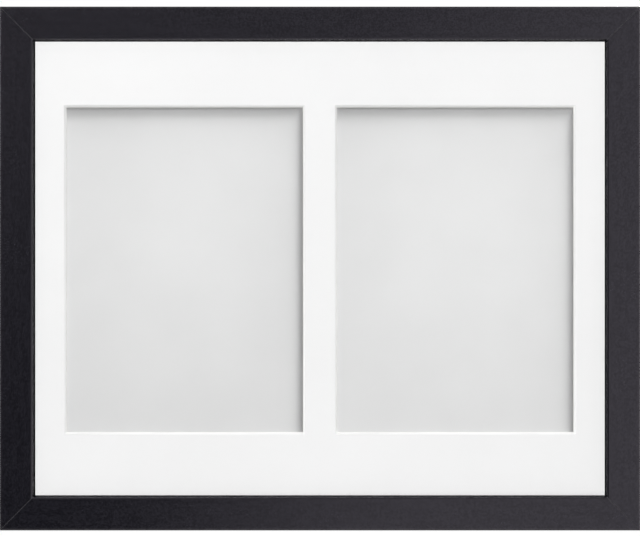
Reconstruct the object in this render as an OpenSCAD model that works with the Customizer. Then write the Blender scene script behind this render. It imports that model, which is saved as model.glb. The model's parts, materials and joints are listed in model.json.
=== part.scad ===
// Collage picture frame: a black mitred moulding round two upright prints behind a
// window mount, closed by a fibreboard back under turn buttons and hung by two D-rings.
// Millimetres. The front faces -Y, +X is the viewer's right and +Z is up. The origin is
// the middle of the bottom rail's underside, halfway through the moulding's depth.

/* [Prints] */
// Width of a print
print_w = 152.4; // [100:0.1:250]
// Height of a print
print_h = 203.2; // [160:0.1:300]
// How far the mount covers each side of a print
cover_w = 4.45; // [2:0.05:8]
// How far the mount covers the top and bottom of a print
cover_h = 3.1; // [2:0.05:8]
// Width of the bar between the windows, at the mount's back
bar_w = 20.8; // [18:0.1:60]
// Width of the mount beside the windows, from the sight edge to the mount's back edge
side_margin = 18.1; // [12:0.1:80]
// Height of the mount above and below windows that lie centred, measured the same way
end_margin = 38.5; // [14:0.1:90]

/* [Frame] */
// Width of a rail's face
rail_w = 20; // [17:0.5:28]
// Depth of a rail's lip, from its front to the glass
lip_t = 6; // [4:0.5:12]
// How far the lip laps over the edge of a pack that lies centred
lap = 5.8; // [4:0.2:7]
// Play between the pack and the rebate on each side
pack_play = 0.8; // [0.4:0.1:1.2]
// Rounding of the edge round the sight opening
sight_r = 1.2; // [0.4:0.1:2]
// Rounding of the outer front edge
outer_r = 0.8; // [0.3:0.1:2]
// Depth of the small V that eases the front edges of each mitre
mitre_ease = 0.25; // [0.1:0.05:0.5]

/* [Pack] */
// Thickness of the glass
glass_t = 2; // [1.5:0.5:3]
// Thickness of the window mount
mount_t = 1.5; // [1:0.1:3]
// Thickness of a print
print_t = 0.25; // [0.2:0.05:0.5]
// Thickness of the gummed hinges that hold the prints
tape_t = 0.1; // [0.1:0.05:0.2]
// Thickness of the undermount behind the prints
undermount_t = 1.4; // [1:0.1:3]
// Thickness of the backing board
board_t = 2.5; // [2:0.5:4]
// Room left between the backing board and the back of the rails
board_room = 0.25; // [0.1:0.05:0.5]

/* [Print hinges] */
// Width of a print hinge
tape_w = 20; // [10:1:30]
// Length of a print hinge on each side of the print's top edge
tape_leg = 10; // [6:1:15]

/* [Corner nails] */
// Length of each arm of a V-nail
nail_arm = 5; // [3:0.5:6]
// Thickness of a V-nail's sheet
nail_t = 0.6; // [0.4:0.1:1]
// Height of a V-nail, along the moulding's depth
nail_h = 7; // [4:0.5:10]
// How far a V-nail is driven below the back
nail_sink = 0.3; // [0.1:0.1:1]
// Clearance round a V-nail
nail_fit = 0.05; // [0.02:0.01:0.1]

/* [Turn buttons] */
// Thickness of a turn button
button_t = 1; // [0.8:0.1:1.5]
// Radius of a turn button's head, round its screw
button_head_r = 5; // [4:0.1:6]
// Radius of its tongue's end
button_tip_r = 3.4; // [2.5:0.1:4]
// How far the tongue reaches over the backing board
button_hold = 8.5; // [6:0.5:12]
// Length of the lifted end that a finger pushes
lift_len = 3.5; // [2:0.5:5]
// Height that the end is lifted by
lift_h = 1.2; // [0.5:0.1:2]
// Gap between a turn button and what it turns on, on each side
button_gap = 0.1; // [0.05:0.05:0.2]

/* [Screws] */
// Radius of a screw over its thread
screw_r = 1.5; // [1.2:0.1:1.8]
// Length of a screw below its head
screw_len = 11; // [8:0.5:12]
// Length of a screw's point
point_len = 2.5; // [1.5:0.5:4]
// Radius of a pan head
pan_r = 2.8; // [2.4:0.1:3.2]
// Height of a pan head
pan_h = 1.9; // [1.5:0.1:2.2]
// Rounding of a pan head's rim
pan_round = 1.1; // [0.5:0.1:1.3]
// Length across the cross recess
recess_len = 3; // [2:0.1:3.6]
// Width of a slot of the cross recess
recess_w = 0.7; // [0.5:0.1:1]
// Depth of the cross recess
recess_depth = 1.1; // [0.5:0.1:1.2]
// Radial clearance of a screw in wood and in sheet
screw_fit = 0.05; // [0.02:0.01:0.1]

/* [Hangers] */
// Width of a hanger's strap
strap_w = 8; // [6:0.5:9]
// Thickness of one layer of the strap, which is folded double
strap_t = 0.8; // [0.6:0.1:1]
// Radius of the ring's wire
wire_r = 1.2; // [0.9:0.1:1.3]
// Radial clearance of the wire in the strap's eye
eye_fit = 0.08; // [0.03:0.01:0.1]
// Distance from the eye down to the strap's screw
strap_screw_drop = 10; // [9:0.5:14]
// Half the ring's width, between the middles of its arms
ring_half_w = 6; // [5.6:0.1:7]
// Radius of the bends beside the ring's straight bar
ring_bend_r = 1.6; // [1.3:0.1:1.8]
// Distance from the eye down to the middle of the ring's bow
bow_drop = 10.4; // [9.5:0.1:15]
// Distance from the outer edge in to the hanger's middle
hanger_inset = 8; // [7.5:0.1:9]
// Distance from the top of the frame down to the eyes
hanger_drop = 52; // [40:1:70]

/* [Wall bumpers] */
// Radius of a bumper
bumper_r = 5; // [4:0.5:6]
// Thickness of a bumper
bumper_t = 4.5; // [4.4:0.1:8]
// Rounding of a bumper's rim
bumper_round = 1; // [0.5:0.1:2]

/* [Hidden] */
$fn = 48;
// Overrun of every cut
cut = 1;

// Windows, as wide as their clear opening at the mount's back
window_w = print_w - 2 * cover_w;
window_h = print_h - 2 * cover_h;
window_x = (window_w + bar_w) / 2;

// The frame is built out from its windows
frame_w = 2 * (window_w + side_margin + rail_w) + bar_w;
frame_h = window_h + 2 * (end_margin + rail_w);

// The pack from the glass to the back, and the moulding's depth that takes it
pack_t = glass_t + mount_t + print_t + tape_t + undermount_t + board_t;
rail_d = lip_t + pack_t + board_room;
front_y = -rail_d / 2;
back_y = rail_d / 2;
glass_y = front_y + lip_t;
mount_y = glass_y + glass_t;
print_y = mount_y + mount_t;
undermount_y = print_y + print_t + tape_t;
board_y = undermount_y + undermount_t;

// Width of the solid land behind the lip, outside the rebate
land_w = rail_w - lap - pack_play;
// The pack stands on the bottom rail's rebate, so its play is all at the top
pack_w = frame_w - 2 * (rail_w - lap);
pack_h = frame_h - 2 * (rail_w - lap);
pack_mid_z = land_w + pack_h / 2;
print_top_z = pack_mid_z + print_h / 2;

// Turns that bring the bottom rail's place to each side, about the frame's middle
BOTTOM = 0;
LEFT = 90;
TOP = 180;
RIGHT = 270;

// Places along a side as shares of its length, and across the land as shares of it
button_long_share = 0.25;
button_short_share = 0.175;
hinge_share = 0.3;
nail_shares = [0.3, 0.7];
button_long_x = button_long_share * frame_w;
button_short_x = button_short_share * frame_h;

// A turn button reaches from its screw, in the middle of the land, over the board
button_z = land_w / 2;
button_reach = land_w - button_z + pack_play + button_hold;
button_tip_z = button_reach - button_tip_r;

// Hangers
eye_bore_r = wire_r + eye_fit;
eye_r = eye_bore_r + strap_t;
eye_y = back_y + eye_r;
eye_z = frame_h - hanger_drop;
hanger_x = frame_w / 2 - hanger_inset;
strap_stack_t = 2 * strap_t;
bumper_x = frame_w / 2 - land_w / 2;

// Puts what is drawn for the bottom rail on another side
module on_side(turn) {
    reach = (turn == LEFT || turn == RIGHT) ? frame_w / 2 : frame_h / 2;
    translate([0, 0, frame_h / 2])
        rotate([0, turn, 0])
            translate([0, 0, -reach])
                children();
}

// Turns a flat outline upright, with its thickness from y = 0 backwards
module plate(t) {
    translate([0, t, 0])
        rotate([90, 0, 0])
            linear_extrude(t)
                children();
}

// Runs a section along X. The section's x becomes Z, and its y becomes Y
module along_x(length) {
    rotate([0, -90, 0])
        linear_extrude(length, center = true)
            children();
}

// Lays a round piece along Y, with its top backwards
module along_y() {
    rotate([-90, 0, 0])
        children();
}

// What rounding by r takes from a corner at the origin
module corner_waste(r) {
    difference() {
        translate([-cut, -cut])
            square(r + cut);
        translate([r, r])
            circle(r);
    }
}

// The moulding: x runs from the outer edge in, and y from the front back
module rail_section() {
    difference() {
        square([rail_w, rail_d]);
        translate([land_w, lip_t])
            square([rail_w - land_w + cut, rail_d - lip_t + cut]);
        corner_waste(outer_r);
        translate([rail_w, 0])
            mirror([1, 0])
                corner_waste(sight_r);
    }
}

// The outline of one V-nail, its point on the mitre. grow widens it to its slot
module nail_outline(grow) {
    translate([-grow, -grow]) {
        square([nail_arm + 2 * grow, nail_t + 2 * grow]);
        square([nail_t + 2 * grow, nail_arm + 2 * grow]);
    }
}

// Both V-nails of the corner at the origin, h high
module corner_nails(h, grow) {
    for (share = nail_shares)
        translate([share * land_w - nail_t / 2, 0, share * land_w - nail_t / 2])
            plate(h)
                nail_outline(grow);
}

// The slots that the V-nails cut in the corner at the origin, open to the back
module nail_slots() {
    translate([0, back_y - nail_sink - nail_h - nail_fit, 0])
        corner_nails(nail_fit + nail_h + nail_sink + cut, nail_fit);
}

// The V that eases a mitre's front edge, along the line from the corner at the origin
module mitre_groove() {
    side = mitre_ease * sqrt(2);
    translate([0, front_y, 0])
        rotate([0, -45, 0])
            rotate([45, 0, 0])
                translate([-side, -side / 2, -side / 2])
                    cube([2 * rail_w, side, side]);
}

// A pilot hole for a screw whose head sits above the back by rise
module pilot(x, z, rise) {
    depth = screw_len - rise;
    translate([x, back_y - depth - screw_fit, z])
        along_y()
            cylinder(h = depth + screw_fit + cut, r = screw_r + screw_fit);
}

// One rail as the bottom one: mitred at 45 degrees, eased, nailed and drilled
module rail(length, button_x) {
    difference() {
        intersection() {
            translate([0, front_y, 0])
                along_x(length)
                    rail_section();
            translate([0, -rail_d, 0])
                plate(2 * rail_d)
                    polygon([
                        [-length / 2, 0], [length / 2, 0],
                        [length / 2 - rail_w, rail_w], [rail_w - length / 2, rail_w]]);
        }
        for (end = [0, 1])
            mirror([end, 0, 0]) {
                translate([-length / 2, 0, 0]) {
                    nail_slots();
                    mitre_groove();
                }
                pilot(button_x, button_z, button_t + 2 * button_gap);
            }
    }
}

// A side rail also has the hole of its hanger's screw
module side_rail(turn) {
    // Along the side, up is -x on the left and +x on the right
    up = turn == LEFT ? -1 : 1;
    color([0.13, 0.13, 0.14])
        on_side(turn)
            difference() {
                rail(frame_h, button_short_x);
                pilot(up * (eye_z - strap_screw_drop - frame_h / 2), hanger_inset, strap_stack_t);
            }
}

module level_rail(turn) {
    color([0.13, 0.13, 0.14])
        on_side(turn)
            rail(frame_w, button_long_x);
}

module top_rail() {
    level_rail(TOP);
}

module bottom_rail() {
    level_rail(BOTTOM);
}

module left_rail() {
    side_rail(LEFT);
}

module right_rail() {
    side_rail(RIGHT);
}

// Two steel V-nails hold each mitre, driven in from the back
module v_nails() {
    color([0.55, 0.56, 0.58])
        for (right = [0, 1], top = [0, 1])
            translate([0, 0, frame_h / 2])
                mirror([right, 0, 0])
                    mirror([0, 0, top])
                        translate([-frame_w / 2, back_y - nail_sink - nail_h, -frame_h / 2])
                            corner_nails(nail_h, 0);
}

// A full sheet of the pack, standing on the bottom rebate
module pack_sheet(y, t) {
    translate([-pack_w / 2, y, land_w])
        cube([pack_w, t, pack_h]);
}

module glazing() {
    color([0.85, 0.9, 0.9, 0.35])
        pack_sheet(glass_y, glass_t);
}

// Section of a bevelled window: open side to the front, at 45 degrees
module window_section(clear) {
    front = clear / 2 + mount_t + cut;
    back = clear / 2 - cut;
    polygon([
        [-front, -cut], [front, -cut],
        [back, mount_t + cut], [-back, mount_t + cut]]);
}

// The waste of one window, bevelled on all four sides
module window_waste() {
    intersection() {
        linear_extrude(2 * window_h, center = true)
            window_section(window_w);
        along_x(2 * window_w)
            window_section(window_h);
    }
}

// White card with a bevelled window for each print
module window_mount() {
    color([0.95, 0.95, 0.94])
        difference() {
            pack_sheet(mount_y, mount_t);
            for (side = [-1, 1])
                translate([side * window_x, mount_y, pack_mid_z])
                    window_waste();
        }
}

// A blank print, which the mount covers at its edges
module print_sheet(side) {
    color([0.75, 0.75, 0.75])
        translate([side * window_x - print_w / 2, print_y, pack_mid_z - print_h / 2])
            cube([print_w, print_t, print_h]);
}

module left_print() {
    print_sheet(-1);
}

module right_print() {
    print_sheet(1);
}

// One gummed hinge: it steps from the print's back up onto the mount's back
module print_hinge() {
    translate([-tape_w / 2, 0, 0]) {
        cube([tape_w, tape_t, tape_leg]);
        cube([tape_w, print_t + tape_t, tape_t]);
        translate([0, print_t, -tape_leg])
            cube([tape_w, tape_t, tape_leg + tape_t]);
    }
}

// Two hinges hang each print from the mount
module print_hinges() {
    color([0.9, 0.87, 0.78])
        for (side = [-1, 1], end = [-1, 1])
            translate([side * window_x + end * hinge_share * print_w, print_y, print_top_z])
                print_hinge();
}

module undermount() {
    color([0.9, 0.89, 0.85])
        pack_sheet(undermount_y, undermount_t);
}

module backing_board() {
    color([0.5, 0.36, 0.24])
        pack_sheet(board_y, board_t);
}

// Outline of a turn button: two circles and the lines that touch both
module button_outline() {
    lean = acos((button_head_r - button_tip_r) / button_tip_z);
    across = [sin(lean), cos(lean)];
    head = button_head_r * across;
    tip = button_tip_r * across;
    circle(button_head_r);
    translate([0, button_tip_z])
        circle(button_tip_r);
    polygon([
        [head.x, head.y], [tip.x, tip.y + button_tip_z],
        [-tip.x, tip.y + button_tip_z], [-head.x, head.y]]);
}

// Side of a turn button: flat, then lifted at its end
module button_side() {
    bend_z = button_reach - lift_len;
    polygon([
        [-button_head_r - cut, 0], [bend_z, 0], [button_reach, lift_h],
        [button_reach, lift_h + button_t], [bend_z, button_t],
        [-button_head_r - cut, button_t]]);
}

// A turn button on a side, its tongue turned in over the board
module turn_button(turn, x) {
    color([0.72, 0.71, 0.68])
        on_side(turn)
            translate([x, back_y + button_gap, button_z])
                difference() {
                    intersection() {
                        translate([0, -cut, 0])
                            plate(button_t + lift_h + 2 * cut)
                                button_outline();
                        along_x(4 * button_head_r)
                            button_side();
                    }
                    translate([0, -cut, 0])
                        along_y()
                            cylinder(h = button_t + 2 * cut, r = screw_r + screw_fit);
                }
}

module top_left_turn_button() {
    turn_button(TOP, button_long_x);
}

module top_right_turn_button() {
    turn_button(TOP, -button_long_x);
}

module bottom_left_turn_button() {
    turn_button(BOTTOM, -button_long_x);
}

module bottom_right_turn_button() {
    turn_button(BOTTOM, button_long_x);
}

module left_upper_turn_button() {
    turn_button(LEFT, -button_short_x);
}

module left_lower_turn_button() {
    turn_button(LEFT, button_short_x);
}

module right_upper_turn_button() {
    turn_button(RIGHT, button_short_x);
}

module right_lower_turn_button() {
    turn_button(RIGHT, -button_short_x);
}

// A pan-head wood screw along Y, the underside of its head at y = 0
module screw() {
    along_y()
        difference() {
            union() {
                rotate_extrude()
                    difference() {
                        square([pan_r, pan_h]);
                        translate([pan_r, pan_h])
                            rotate(180)
                                corner_waste(pan_round);
                    }
                translate([0, 0, point_len - screw_len])
                    cylinder(h = screw_len - point_len, r = screw_r);
                translate([0, 0, -screw_len])
                    cylinder(h = point_len, r1 = 0, r2 = screw_r);
            }
            for (turn = [0, 90])
                rotate(turn)
                    translate([-recess_len / 2, -recess_w / 2, pan_h - recess_depth])
                        cube([recess_len, recess_w, recess_depth + cut]);
        }
}

// The screws that the turn buttons turn on
module button_screws() {
    color([0.78, 0.77, 0.74])
        for (turn = [BOTTOM, LEFT, TOP, RIGHT], end = [-1, 1]) {
            x = (turn == LEFT || turn == RIGHT) ? button_short_x : button_long_x;
            on_side(turn)
                translate([end * x, back_y + button_t + 2 * button_gap, button_z])
                    screw();
        }
}

// The screws of the two hangers
module hanger_screws() {
    color([0.78, 0.77, 0.74])
        for (side = [-1, 1])
            translate([side * hanger_x, back_y + strap_stack_t, eye_z - strap_screw_drop])
                screw();
}

// A strap folded round its ring's bar and screwed to the rail below it
module hanger_strap(side) {
    color([0.74, 0.73, 0.7])
        translate([side * hanger_x, eye_y, eye_z])
            difference() {
                union() {
                    rotate([0, 90, 0])
                        cylinder(h = strap_w, r = eye_r, center = true);
                    translate([0, -eye_r, 0])
                        plate(strap_stack_t) {
                            translate([-strap_w / 2, -strap_screw_drop])
                                square([strap_w, strap_screw_drop]);
                            translate([0, -strap_screw_drop])
                                circle(strap_w / 2);
                        }
                }
                rotate([0, 90, 0])
                    cylinder(h = strap_w + 2 * cut, r = eye_bore_r, center = true);
                translate([0, -eye_r - cut, -strap_screw_drop])
                    along_y()
                        cylinder(h = strap_stack_t + 2 * cut, r = screw_r + screw_fit);
            }
}

module left_hanger_strap() {
    hanger_strap(-1);
}

module right_hanger_strap() {
    hanger_strap(1);
}

// Part of a ring of wire in the XZ plane, from the +X direction towards +Z
module wire_bend(r, angle) {
    rotate([90, 0, 0])
        rotate_extrude(angle = angle)
            translate([r, 0])
                circle(wire_r);
}

// A wire D whose straight bar turns in the strap's eye. It hangs down at rest
module d_ring(side) {
    bar = 2 * (ring_half_w - ring_bend_r);
    color([0.8, 0.79, 0.76])
        translate([side * hanger_x, eye_y, eye_z]) {
            rotate([0, 90, 0])
                cylinder(h = bar, r = wire_r, center = true);
            for (end = [0, 1])
                mirror([end, 0, 0]) {
                    translate([ring_half_w - ring_bend_r, 0, -ring_bend_r])
                        wire_bend(ring_bend_r, 90);
                    translate([ring_half_w, 0, -bow_drop])
                        cylinder(h = bow_drop - ring_bend_r, r = wire_r);
                }
            translate([0, 0, -bow_drop])
                rotate([0, 180, 0])
                    wire_bend(ring_half_w, 180);
        }
}

module left_d_ring() {
    d_ring(-1);
}

module right_d_ring() {
    d_ring(1);
}

// Rubber bumpers keep the lower corners off the wall
module wall_bumpers() {
    color([0.2, 0.2, 0.2])
        for (side = [-1, 1])
            translate([side * bumper_x, back_y, land_w / 2])
                along_y()
                    rotate_extrude()
                        difference() {
                            square([bumper_r, bumper_t]);
                            translate([bumper_r, bumper_t])
                                rotate(180)
                                    corner_waste(bumper_round);
                        }
}

top_rail();
bottom_rail();
left_rail();
right_rail();
v_nails();
glazing();
window_mount();
left_print();
right_print();
print_hinges();
undermount();
backing_board();
top_left_turn_button();
top_right_turn_button();
bottom_left_turn_button();
bottom_right_turn_button();
left_upper_turn_button();
left_lower_turn_button();
right_upper_turn_button();
right_lower_turn_button();
button_screws();
left_hanger_strap();
right_hanger_strap();
left_d_ring();
right_d_ring();
hanger_screws();
wall_bumpers();
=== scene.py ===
# %% [markdown]
# # A collage picture frame
# Four black mitred rails hold a sheet of glass, a white window mount and two blank prints.
# A fibreboard closes the back under turn buttons, and two D-rings hang the frame. The measured
# model gives every part its place, and this lesson gives each one its real edges and finish.
# The model is loaded first, because nothing here moves it: all the sizes are read from it.

# %% Load the measured model
import json
import math

import bmesh
import bpy
from mathutils import Matrix, Vector


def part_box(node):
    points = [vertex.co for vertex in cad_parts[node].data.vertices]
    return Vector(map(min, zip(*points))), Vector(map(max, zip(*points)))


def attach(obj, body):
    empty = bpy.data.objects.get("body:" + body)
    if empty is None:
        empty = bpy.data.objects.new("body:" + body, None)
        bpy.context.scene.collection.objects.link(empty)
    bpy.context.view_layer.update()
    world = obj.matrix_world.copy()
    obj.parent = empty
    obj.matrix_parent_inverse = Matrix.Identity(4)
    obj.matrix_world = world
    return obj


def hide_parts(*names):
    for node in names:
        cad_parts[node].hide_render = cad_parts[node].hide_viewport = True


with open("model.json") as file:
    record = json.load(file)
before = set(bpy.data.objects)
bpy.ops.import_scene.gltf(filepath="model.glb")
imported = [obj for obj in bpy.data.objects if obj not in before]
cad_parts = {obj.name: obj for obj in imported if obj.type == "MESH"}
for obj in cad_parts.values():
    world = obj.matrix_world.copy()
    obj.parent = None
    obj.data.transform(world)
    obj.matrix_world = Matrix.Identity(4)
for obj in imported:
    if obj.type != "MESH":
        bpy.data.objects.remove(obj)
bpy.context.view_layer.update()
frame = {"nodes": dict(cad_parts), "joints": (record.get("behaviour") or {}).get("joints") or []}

# %% [markdown]
# ## Sizes
# The rails, the glass and the boards tell each other's places, so the sizes come from the boxes
# round the measured parts and from the joints. A few radii, which a box can't show, are written
# in millimetres.

# %% Sizes from the model
MM = 0.001
rail_low, rail_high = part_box("bottom_rail")
half_w = rail_high.x
front_y = rail_low.y
back_y = rail_high.y
rail_w = rail_high.z
frame_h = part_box("top_rail")[1].z
mid_z = frame_h / 2
glass_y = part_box("glazing")[0].y
mount_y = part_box("window_mount")[0].y
land_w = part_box("backing_board")[0].z
pivots = {joint["child"]: Vector(joint["pos_m"]) for joint in frame["joints"]}
print("frame", round(2 * half_w / MM), "by", round(frame_h / MM), "mm")
print("rails", round(rail_w / MM), "mm wide")

# %% [markdown]
# ## Four sides from one
# All four rails are cut from one moulding. What is made for the bottom side is turned about the
# frame's middle to each of the others, as a maker works with one stop on the saw. The turn also
# carries the grain and the wear, so a finish follows its own rail. The places that follow are all
# put together from two kinds of matrix, a shift and a spin.

# %% Turns to each side
TURNS = {"bottom": 0, "left": 90, "top": 180, "right": 270}


def shift(x=0, y=0, z=0):
    return Matrix.Translation((x, y, z))


def spin(degrees, axis="Y"):
    return Matrix.Rotation(math.radians(degrees), 4, axis)


def spans(side):
    """How far a side's outer edge lies from the frame's middle, and half the side's length."""
    return (mid_z, half_w) if side in ("bottom", "top") else (half_w, mid_z)


def on_side(side):
    """Takes what lies on the bottom side to another side of the frame."""
    reach, _ = spans(side)
    return shift(z=mid_z) @ spin(TURNS[side]) @ shift(z=-reach)


print("sides:", ", ".join(TURNS))

# %% [markdown]
# ## From a bmesh to a piece
# Each new piece is shaped as a bmesh, where the operators work on a few faces at a time. It then
# becomes an object at the origin, with its place in its mesh. Edges sharper than the given angle
# stay crisp, and a weighted normal keeps the flat faces flat beside the rounded edges. Without it
# a satin rail would look dented along its arrises.

# %% Make a piece
SOFT_ANGLE = 35


def as_object(name, bm):
    """Puts a bmesh into a new object at the origin, and lets go of the bmesh."""
    bmesh.ops.recalc_face_normals(bm, faces=bm.faces)
    mesh = bpy.data.meshes.new(name)
    bm.to_mesh(mesh)
    bm.free()
    made = bpy.data.objects.new(name, mesh)
    bpy.context.scene.collection.objects.link(made)
    return made


def make_piece(name, bm, body, finishes, stands_for):
    """Makes a bmesh a piece of the frame that rides on a body and stands for a measured part."""
    made = as_object(name, bm)
    for finish in finishes:
        made.data.materials.append(finish)
    made.data.shade_smooth()
    made.data.set_sharp_from_angle(angle=math.radians(SOFT_ANGLE))
    flat = made.modifiers.new("flat faces stay flat", "WEIGHTED_NORMAL")
    flat.keep_sharp = True
    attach(made, body)
    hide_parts(stands_for)
    print(name, "has", len(made.data.polygons), "faces")
    return made


print("edges sharper than", SOFT_ANGLE, "degrees stay crisp")

# %% [markdown]
# ## Saw, drill and knife
# Slots, holes and recesses are cut with a Boolean modifier, whose exact solver leaves clean edges
# on closed meshes. The modifier is used up at once, so that the edges it leaves can be worked on
# as a bmesh again. Slivers thinner than a thousandth of a millimetre are dissolved, and the tool is
# thrown away after the cut. Points closer than a ten-thousandth of a millimetre count as the same.
# The short helpers below make the tools, and slice or round a shape.

# %% Cut one shape with another
sliver = 0.001 * MM
same_point = 0.0001 * MM
BMVert, BMEdge, BMFace = bmesh.types.BMVert, bmesh.types.BMEdge, bmesh.types.BMFace


def only(kind, parts):
    """The points, edges or faces among what an operator gives back."""
    return [part for part in parts if isinstance(part, kind)]


def everything(bm):
    return bm.verts[:] + bm.edges[:] + bm.faces[:]


def sliced(bm, spot, normal, **settings):
    """Lays new edges where a plane crosses a bmesh."""
    return bmesh.ops.bisect_plane(
        bm, geom=everything(bm), plane_co=spot, plane_no=normal, **settings)


def rounded(bm, parts, radius, steps, affect="EDGES", clamp=False):
    """Rounds edges, or the corners of a flat outline."""
    bmesh.ops.bevel(
        bm, geom=parts, offset=radius, affect=affect, segments=steps, profile=0.5, material=-1,
        clamp_overlap=clamp)


def worked(made, kind, **settings):
    """Gives an object a modifier, uses it up and hands the result back as a bmesh."""
    modifier = made.modifiers.new(kind.lower(), kind)
    for setting, value in settings.items():
        setattr(modifier, setting, value)
    shown = made.evaluated_get(bpy.context.evaluated_depsgraph_get())
    result = bmesh.new()
    result.from_mesh(shown.to_mesh())
    shown.to_mesh_clear()
    bpy.data.meshes.remove(made.data)
    return result


def cut(bm, tool_bm, operation="DIFFERENCE"):
    """Cuts a closed bmesh with another, joins the two, or keeps only what both hold."""
    tool = as_object("tool", tool_bm)
    result = worked(
        as_object("blank", bm), "BOOLEAN", operation=operation, solver="EXACT", object=tool)
    bpy.data.meshes.remove(tool.data)
    bmesh.ops.dissolve_degenerate(result, dist=sliver, edges=result.edges)
    return result


def moved(bm, place):
    """Moves a bmesh by a matrix."""
    bmesh.ops.transform(bm, matrix=place, verts=bm.verts)
    return bm


def along_y(radius, y_from, y_to, segments=32):
    """A round bar along Y, closed at both ends."""
    bar = bmesh.new()
    bmesh.ops.create_cone(
        bar, cap_ends=True, segments=segments, radius1=radius, radius2=radius, depth=y_to - y_from)
    return moved(bar, shift(y=(y_from + y_to) / 2) @ spin(-90, "X"))


def block(low, high):
    """A block between two opposite corners."""
    low, high = Vector(low), Vector(high)
    made = bmesh.new()
    bmesh.ops.create_cube(made, size=1)
    size = Matrix.Diagonal((*(high - low), 1))
    return moved(made, shift(*(low + high) / 2) @ size)


def joined(*parts):
    """Lays several bmeshes into one, as separate shells."""
    whole = bmesh.new()
    for part in parts:
        mesh = bpy.data.meshes.new("part")
        part.to_mesh(mesh)
        part.free()
        whole.from_mesh(mesh)
        bpy.data.meshes.remove(mesh)
    return whole


def copies(bm, places):
    """A copy of a bmesh at each place, as separate shells of one bmesh."""
    whole = joined(*(moved(bm.copy(), place) for place in places))
    bm.free()
    return whole


print("slivers under", sliver / MM, "mm are dissolved after each cut")

# %% [markdown]
# ## A finish in the making
# A finish here is a node tree that reads the Object coordinates. The pieces all sit at the origin,
# so these are the measured model's own metres, and a scale of 1000 gives marks a millimetre apart.
# A Mapping node turns the pattern to its rail. The class keeps each finish short: it adds a node,
# sets or links its inputs, and hands on its output.

# %% Finish builder
NOISE_RANGE = (0.3, 0.7)


class Finish:
    """A material in the making, with its pattern laid in the model's own coordinates."""

    def __init__(self, name, side="bottom", centre=(0, 0, 0)):
        self.material = bpy.data.materials.new(name)
        self.material.use_nodes = True
        self.tree = self.material.node_tree
        self.tree.nodes.clear()
        self.place = self.add(
            "Mapping", {"Vector": self.add("TexCoord").outputs["Object"], "Location": centre,
                        "Rotation": (0, math.radians(TURNS[side]), 0)},
            vector_type="TEXTURE").outputs[0]

    def add(self, kind, inputs=None, **settings):
        """Adds a node, with its inputs given by name or number."""
        node = self.tree.nodes.new("ShaderNode" + kind)
        for setting, value in settings.items():
            setattr(node, setting, value)
        for key, value in (inputs or {}).items():
            if isinstance(value, bpy.types.NodeSocket):
                self.tree.links.new(value, node.inputs[key])
            else:
                node.inputs[key].default_value = value
        return node

    def axis(self, name):
        """One coordinate of the pattern's place."""
        return self.add("SeparateXYZ", {0: self.place}).outputs[name]

    def stretched(self, x=1, y=1, z=1):
        """The pattern's place, scaled apart along each direction."""
        return self.add("VectorMath", {0: self.place, 1: (x, y, z)}, operation="MULTIPLY").outputs[0]

    def noise(self, scale, detail=2, rough=0.5, at=None, bend=0):
        """Soft random blotches from 0 to 1, about as many in a metre as the scale says."""
        inputs = {"Vector": at or self.place, "Scale": scale, "Detail": detail, "Roughness": rough,
                  "Distortion": bend}
        return self.add("TexNoise", inputs).outputs["Fac"]

    def ramp(self, value, low, high, to_low=0, to_high=1):
        """Takes the stretch from low to high, smoothly, to another stretch."""
        inputs = {0: value, 1: low, 2: high, 3: to_low, 4: to_high}
        return self.add("MapRange", inputs, interpolation_type="SMOOTHSTEP").outputs[0]

    def vary(self, noise, to_low=0, to_high=1):
        """Takes the stretch where a noise mostly lies, smoothly, to another stretch."""
        return self.ramp(noise, *NOISE_RANGE, to_low, to_high)

    def math(self, operation, a, b=0.0):
        """A sum, a product and the like of two numbers or links."""
        return self.add("Math", {0: a, 1: b}, operation=operation).outputs[0]

    def mix(self, mask, a, b):
        """The number a where the mask is 0, and b where it is 1."""
        return self.add("Mix", {0: mask, 2: a, 3: b}).outputs[0]

    def blend(self, mask, a, b):
        """Colour a where the mask is black, and b where it is white."""
        inputs = {0: mask, 6: opaque(a), 7: opaque(b)}
        return self.add("Mix", inputs, data_type="RGBA").outputs[2]

    def bump(self, height, depth):
        """Raises the surface by up to depth where the height is white."""
        inputs = {"Height": height, "Distance": depth, "Strength": 1}
        return self.add("Bump", inputs).outputs[0]

    def done(self, **surface):
        """Gives the finish its surface: names with _ for a space, each a number, colour or link."""
        inputs = {key.replace("_", " "): opaque(value) for key, value in surface.items()}
        shader = self.add("BsdfPrincipled", inputs)
        self.add("OutputMaterial", {"Surface": shader.outputs[0]})
        return self.material


def opaque(value):
    """A colour with its alpha, or any other value as it is."""
    return (*value, 1) if isinstance(value, tuple) and len(value) == 3 else value


print("finishes are made with", Finish.__name__)

# %% [markdown]
# ## Satin black wrap
# The moulding is wood wrapped in a satin black foil. It looks nearly flat, but its film is a fine
# orange peel with a very faint drag along the rail, in a slightly violet black. The peel moves the
# colour, the gloss and the relief together. The arrises are rubbed a little greyer by handling, and
# the saw leaves a scuffed grey hair line on both sides of each mitre.
# All of that lies in the rail's own coordinates: x runs along the rail, z from the outer edge in.
# A painted texture would need an image, and nodes don't.

# %% Satin black wrap
WRAP_DARK, WRAP_LIGHT = (0.0038, 0.0037, 0.0056), (0.0078, 0.0077, 0.0110)
WRAP_SHEEN = (0.957, 0.884, 1.0)
RUBBED, SCUFFED = (0.033, 0.032, 0.035), (0.056, 0.055, 0.060)
PEEL_SHARE, DRAG_SHARE = 0.86, 0.14
film_low, film_high = 0.42, 0.58
arris_rub = 2.2 * MM
scuff_w = 0.42 * MM


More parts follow.
